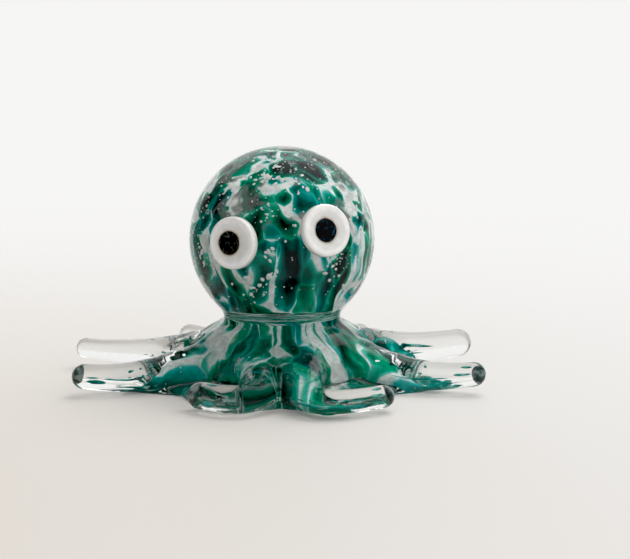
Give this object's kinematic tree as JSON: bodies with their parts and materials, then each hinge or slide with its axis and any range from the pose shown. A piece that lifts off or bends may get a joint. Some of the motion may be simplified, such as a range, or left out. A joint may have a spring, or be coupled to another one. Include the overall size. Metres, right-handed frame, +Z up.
{
  "type": "octopus figurine",
  "caption": "Small desk ornament of lampworked glass: an octopus with a round head, frit colour cased in clear glass, dot eyes and drawn-out tentacles.",
  "frame": {"origin": "on the resting face, under the head's axis", "axes": "+Z up, -Y towards the viewer that the eyes face, +X along the widest spread of the tentacles"},
  "size_m": [0.0757, 0.066, 0.043],
  "materials": {
    "clear_glass": "fire-polished, clear",
    "frit_glass": "emerald and white frit melted together, opaque",
    "white_glass": "opaque, glossy",
    "black_glass": "opaque, glossy"
  },
  "bodies": {
    "root": {"head_core": "frit_glass", "head_casing": "clear_glass", "body_core": "frit_glass", "body_casing": "clear_glass", "tentacle_front_left": "clear_glass", "tentacle_left_front": "clear_glass", "tentacle_left_back": "clear_glass", "tentacle_back_left": "clear_glass", "tentacle_back_right": "clear_glass", "tentacle_right_back": "clear_glass", "tentacle_right_front": "clear_glass", "tentacle_front_right": "clear_glass", "colour_trail_front_left": "frit_glass", "colour_trail_left_front": "frit_glass", "colour_trail_left_back": "frit_glass", "colour_trail_back_left": "frit_glass", "colour_trail_back_right": "frit_glass", "colour_trail_right_back": "frit_glass", "colour_trail_right_front": "frit_glass", "colour_trail_front_right": "frit_glass", "eye_white_left": "white_glass", "eye_white_right": "white_glass", "pupil_left": "black_glass", "pupil_right": "black_glass"}
  },
  "joints": []
}
